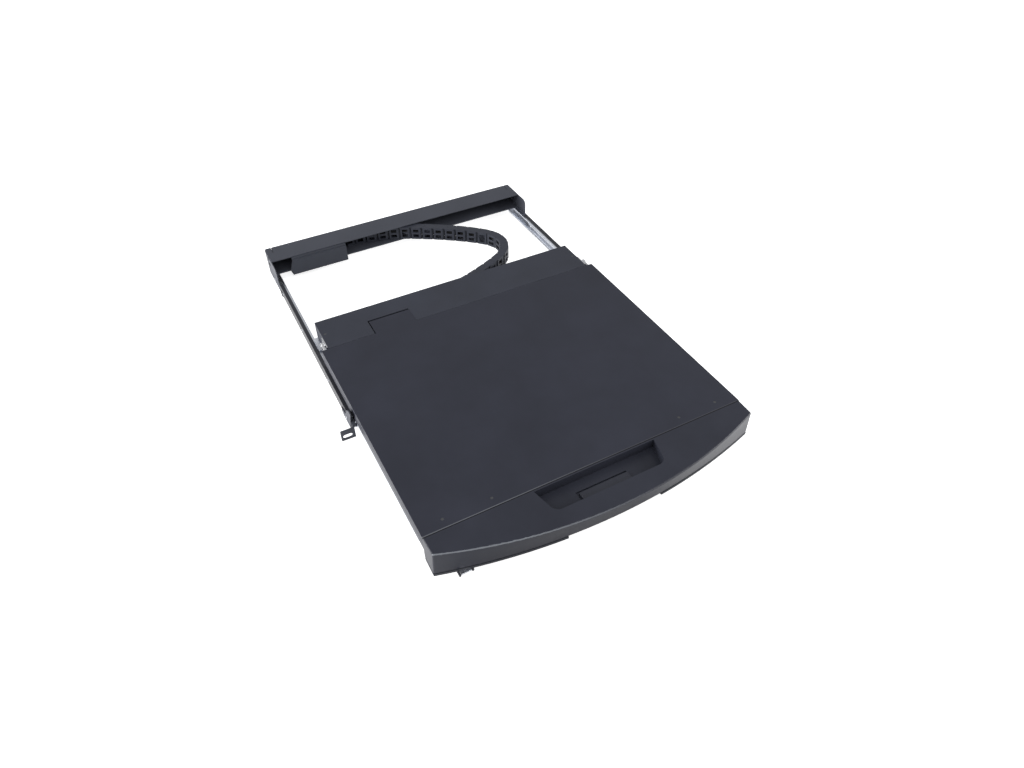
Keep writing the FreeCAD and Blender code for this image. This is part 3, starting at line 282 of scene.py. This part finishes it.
def soften(piece, width, segments=2, split=None, merge=True):
    """Rounds every sharp edge.

    split is a Y at which faces are divided, and merge joins the triangles of a flat face.
    """
    mesh = piece.data
    bm = bmesh.new()
    bm.from_mesh(mesh)
    bmesh.ops.remove_doubles(bm, verts=bm.verts, dist=SAME_POINT)
    if merge:
        bmesh.ops.dissolve_limit(bm, angle_limit=FLAT_ANGLE, verts=bm.verts, edges=bm.edges)
    if split is not None:
        whole = bm.verts[:] + bm.edges[:] + bm.faces[:]
        bmesh.ops.bisect_plane(bm, geom=whole, plane_co=(0, split, 0), plane_no=(0, 1, 0))
    bm.to_mesh(mesh)
    bm.free()
    rounding = piece.modifiers.new("rounding", "BEVEL")
    rounding.width = width
    rounding.segments = segments
    rounding.limit_method = "ANGLE"
    rounding.angle_limit = SHARP_ANGLE
    rounding.use_clamp_overlap = True
    rounding.miter_outer = "MITER_ARC"
    finish_mesh(piece)


def finish_mesh(piece):
    """Shades the piece smooth, weights its normals by face and applies its modifiers."""
    mesh = piece.data
    mesh.shade_smooth()
    normals = piece.modifiers.new("normals", "WEIGHTED_NORMAL")
    normals.keep_sharp = True
    bpy.context.view_layer.update()
    done = bpy.data.meshes.new_from_object(
        piece.evaluated_get(bpy.context.evaluated_depsgraph_get())
    )
    piece.modifiers.clear()
    piece.data = done


def cad_copy(node, material, name):
    """A new piece with a CAD node's shape."""
    mesh = frame["nodes"][node].data.copy()
    mesh.shade_smooth()
    return link(name, mesh, material)


def body_of(node):
    """The name of the body that a CAD node moves with."""
    for body, nodes in frame["record"]["behaviour"]["bodies"].items():
        if node in nodes:
            return body


def dressed(node, material, width=0.3, segments=2, split=None, merge=True):
    """Shows a CAD node with softened edges, width in millimetres."""
    piece = cad_copy(node, material, node + "_piece")
    soften(piece, width * MM, segments, split, merge)
    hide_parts(node)
    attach(piece, body_of(node))
    return piece


def paint_faces(piece, material, chosen):
    """Gives a material to the faces for which chosen(middle, normal) holds."""
    piece.data.materials.append(material)
    for face in piece.data.polygons:
        if chosen(face.center, face.normal):
            face.material_index = len(piece.data.materials) - 1


def painted_node(node, material):
    """Keeps a CAD node's own shape and gives it a finish."""
    mesh = frame["nodes"][node].data
    mesh.materials.clear()
    mesh.materials.append(material)
    mesh.shade_smooth()
    mesh.set_sharp_from_angle(angle=SHARP_ANGLE)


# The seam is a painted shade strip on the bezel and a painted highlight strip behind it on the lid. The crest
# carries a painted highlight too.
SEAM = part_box("lid_cover")[0].y
LID_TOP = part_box("lid_cover")[1].z
LIGHT_STRIP = 1.3 * MM
DARK_STRIP = 1.1 * MM
STRIP_MARGIN = 0.1 * MM
LIGHT_DEPTH = 1.0 * MM
DARK_DEPTH = 1.5 * MM
CREST_DEPTH = 2.0 * MM
CREST_FROM_SEAM = 15 * MM


def on_lid_edge(at, normal):
    return at.y < SEAM + LIGHT_STRIP - STRIP_MARGIN and at.z > LID_TOP - LIGHT_DEPTH


def on_dark_strip(at, normal):
    return at.y > SEAM - DARK_STRIP + STRIP_MARGIN and at.z > LID_TOP - DARK_DEPTH


def on_crest(at, normal):
    """The rounding between the bezel's top and its front."""
    in_place = at.y < SEAM - CREST_FROM_SEAM and at.z > LID_TOP - CREST_DEPTH
    return in_place and 0.2 < normal.z < 0.97 and normal.y < -0.1


lid_cover = dressed("lid_cover", lid_paint, 0.5, split=SEAM + LIGHT_STRIP)
front_bezel = dressed("front_bezel", bezel_paint, 0.5, split=SEAM - DARK_STRIP)
paint_faces(lid_cover, lid_edge_highlight, on_lid_edge)
paint_faces(front_bezel, crest_highlight, on_crest)
paint_faces(front_bezel, seam_painted_shade, on_dark_strip)
dressed("lcd_frame", bezel_paint, 0.3)
dressed("rear_housing_cover", housing_paint, 0.3)
dressed("rear_crossbar", frame_paint, 0.35)
dressed("chain_cover", cover_plastic, 0.3)
dressed("tray_front", tray_paint, 0.35)
dressed("keyboard_tray", tray_paint, 0.3)
dressed("keyboard_deck", tray_paint, 0.25, merge=False)
dressed("handle_latch", latch_plastic, 0.6, 3)
dressed("rear_panel", frame_paint, 0.2)
dressed("release_catch", zinc, 0.3)
for side in SIDES:
    dressed(f"front_bracket_{side}", frame_paint, 0.25)
    dressed(f"rear_bracket_{side}", frame_paint, 0.25)
    dressed(f"outer_rail_{side}", black_zinc, 0.25)
    dressed(f"cabinet_member_{side}", zinc, 0.25)
    dressed(f"mid_member_{side}", zinc, 0.25)
    dressed(f"drawer_member_{side}", zinc, 0.25)
    dressed(f"hinge_arm_{side}", bright_steel, 0.3)
    dressed(f"hinge_mount_{side}", bright_steel, 0.3)
    dressed(f"slide_lever_{side}", zinc, 0.25)
    dressed(f"touchpad_button_{side}", latch_plastic, 0.3)
    painted_node(f"ball_cages_{side}", bright_steel)
for number in range(1, 5):
    dressed(f"osd_button_{number}", latch_plastic, 0.4, 3)
for node, material in (
    ("hinge_pins", bright_steel),
    ("rail_rivets", zinc),
    ("crossbar_screws", screw_black),
    ("lid_screws", screw_black),
    ("housing_screws", screw_black),
    ("keyboard_plate", base_plastic),
    ("rear_connector", base_plastic),
    ("control_board", board_green),
    ("board_standoffs", zinc),
    ("lcd_panel", screen_glass),
    ("lcd_back_tray", zinc),
    ("touchpad", latch_plastic),
    ("space_bar", key_plastic),
    ("keycaps", key_plastic),
    ("chain_anchor_fixed", chain_plastic),
    ("chain_anchor_moving", chain_plastic),
    ("rail_end_caps", base_plastic),
):
    painted_node(node, material)

# ---------------------------------------------------------------- cable chain
# The chain is made in two runs that meet at its turn.
# Its sizes are in millimetres, and its headings in degrees.
LINK_PITCH = 19.2
CHAIN_START = (-77.6, 401.3)
CABLE_HEIGHT = 24.1
CABLE_RADIUS = 2.8
CABLE_END = 18.7  # from the chain's end pivots to the cable's ends
CHAIN_ROUNDING = 0.35
HEADINGS = (
    -13, -14, -16, -20, -27, -31, -32, -34, -36, -38, -41, -46,
    -62, -88, -114, -138, -151, -156, -158, -160, -162, -164, -168, -176,
)
FIRST_BACK = 14  # the first link past the turn


def chain_pivots():
    """The links' pivots in plan, from the crossbar to the drawer."""
    points = [CHAIN_START]
    for heading in HEADINGS:
        x, y = points[-1]
        angle = math.radians(heading)
        points.append((x + LINK_PITCH * math.cos(angle), y + LINK_PITCH * math.sin(angle)))
    return points


pivots = chain_pivots()
TURN_Y = pivots[FIRST_BACK][1] * MM


def run_of(piece_name, rear):
    return piece_name + ("_rear" if rear else "_front")


def loose_parts(bm):
    """The separate bodies of a mesh, as lists of vertices."""
    left = set(bm.verts)
    parts = []
    while left:
        part = {left.pop()}
        edge_of_part = list(part)
        while edge_of_part:
            near = [e.other_vert(v) for v in edge_of_part for e in v.link_edges]
            edge_of_part = list(set(near) - part)
            part.update(edge_of_part)
        left -= part
        parts.append(list(part))
    return parts


def keep_half(mesh, rear):
    """Keeps the bodies whose middle lies behind the chain's turn, or in front of it."""
    bm = bmesh.new()
    bm.from_mesh(mesh)
    bmesh.ops.remove_doubles(bm, verts=bm.verts, dist=SAME_POINT)
    for part in loose_parts(bm):
        middle = sum(v.co.y for v in part) / len(part)
        if (middle > TURN_Y) != rear:
            bmesh.ops.delete(bm, geom=part, context="VERTS")
    bm.to_mesh(mesh)
    bm.free()


def bend_with_drawer(piece):
    """Bakes the piece's placement into its mesh."""
    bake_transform(piece)


def cable_run(points, rear):
    """Round cable on a smooth spline through one run of the chain."""
    curve = bpy.data.curves.new("cable", "CURVE")
    curve.dimensions = "3D"
    spline = curve.splines.new("NURBS")
    spline.points.add(len(points) - 1)
    for point, (x, y) in zip(spline.points, points):
        point.co = (x * MM, y * MM, CABLE_HEIGHT * MM, 1.0)
    spline.order_u = 3
    spline.use_endpoint_u = True
    spline.resolution_u = 6
    curve.bevel_depth = CABLE_RADIUS * MM
    curve.bevel_resolution = 6
    curve.use_fill_caps = True
    line = bpy.data.objects.new("cable_line", curve)
    scene.collection.objects.link(line)
    bpy.context.view_layer.update()
    mesh = bpy.data.meshes.new_from_object(line)
    bpy.data.objects.remove(line)
    mesh.shade_smooth()
    piece = link(run_of("chain_cable", rear), mesh, cable_rubber)
    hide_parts("chain_cable")
    bend_with_drawer(piece)


fixed_end = (pivots[0][0] - CABLE_END, pivots[0][1])
moving_end = (pivots[-1][0] - CABLE_END, pivots[-1][1])
cable_run([fixed_end] + pivots[: FIRST_BACK + 1], True)
cable_run(pivots[FIRST_BACK:] + [moving_end], False)
for rear in (True, False):
    links = cad_copy("chain_links", chain_plastic, run_of("chain", rear))
    keep_half(links.data, rear)
    soften(links, CHAIN_ROUNDING * MM)
    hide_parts("chain_links")
    bend_with_drawer(links)

# ---------------------------------------------------------------- floor and light
FLOOR = cad_box[0].z
HALF_FLOOR = 12.0
FLOOR_COLOR = (0.82, 0.82, 0.82)
FLOOR_REFLECTED = (0.50, 0.50, 0.50)
FLOOR_GLOW = 0.75
WORLD_LIGHT = 0.52


def floor_material():
    """Pale floor that takes a soft shadow and glows towards the camera.

    Reflections see a darker floor. Its glow there is strong at the left of the drawer behind its front, grows
    from the middle to the right all along, and is weak everywhere else.
    """
    material, tree, shader = new_material("floor", FLOOR_COLOR, 0.9)
    path = tree.nodes.new("ShaderNodeLightPath")
    to_camera, to_gloss = path.outputs["Is Camera Ray"], path.outputs["Is Glossy Ray"]
    color = mix_colors(tree, to_gloss, FLOOR_COLOR, FLOOR_REFLECTED)
    tree.links.new(color, shader.inputs["Base Color"])
    place = axes(tree, coordinates(tree))
    at_left = spread(tree, place["X"], 2.2, 0.12, -0.27, -0.19)
    past_front = spread(tree, place["Y"], 0.0, 1.0, -0.36, -0.24)
    at_right = spread(tree, place["X"], 0.12, 1.6, 0.04, 0.25)
    beside = combine(tree, "MAXIMUM", combine(tree, "MULTIPLY", at_left, past_front), at_right)
    reflected = combine(tree, "MULTIPLY", beside, to_gloss)
    seen = combine(tree, "MAXIMUM", to_camera, reflected)
    glow = tree.nodes.new("ShaderNodeEmission")
    tree.links.new(combine(tree, "MULTIPLY", seen, FLOOR_GLOW), glow.inputs["Strength"])
    both = tree.nodes.new("ShaderNodeAddShader")
    tree.links.new(shader.outputs[0], both.inputs[0])
    tree.links.new(glow.outputs[0], both.inputs[1])
    tree.links.new(both.outputs[0], tree.nodes["Material Output"].inputs["Surface"])
    return material


corners = [(x * HALF_FLOOR, y * HALF_FLOOR, FLOOR) for x, y in ((-1, -1), (1, -1), (1, 1), (-1, 1))]
mesh = bpy.data.meshes.new("floor")
mesh.from_pydata(corners, [], [(0, 1, 2, 3)])
floor = link("floor", mesh, floor_material())

world = bpy.data.worlds.new("world")
scene.world = world
world.use_nodes = True
tree = world.node_tree
background = tree.nodes["Background"]
background.inputs["Color"].default_value = (1.0, 1.0, 1.0, 1.0)
path = tree.nodes.new("ShaderNodeLightPath")
strength = tree.nodes.new("ShaderNodeMapRange")
strength.inputs["To Min"].default_value = WORLD_LIGHT
strength.inputs["To Max"].default_value = 1.0
tree.links.new(path.outputs["Is Camera Ray"], strength.inputs["Value"])
tree.links.new(strength.outputs["Result"], background.inputs["Strength"])


def lamp(name, place, target, size, power):
    """A rectangular lamp at a place, aimed at a target, with its power in watts."""
    data = bpy.data.lights.new(name, "AREA")
    data.shape = "RECTANGLE"
    data.size, data.size_y = size
    data.energy = power
    obj = bpy.data.objects.new(name, data)
    scene.collection.objects.link(obj)
    obj.location = place
    obj.rotation_mode = "QUATERNION"
    direction = Vector(target) - Vector(place)
    obj.rotation_quaternion = direction.to_track_quat("-Z", "Y")


lamp("key", (-1.1, -0.7, 2.1), (0, 0.05, 0), (1.6, 1.6), 13.0)
lamp("right", (2.2, -0.6, 0.9), (0, 0, 0), (1.4, 1.0), 30.0)
lamp("left", (-2.2, 0.6, 0.45), (0, 0, 0), (1.6, 0.8), 60.0)
lamp("front", (-0.1, -1.9, 1.75), (0, 0, 0), (2.2, 0.9), 10.0)
lamp("low", (0.3, -2.6, 0.6), (0, 0.3, 0), (1.6, 0.5), 8.0)
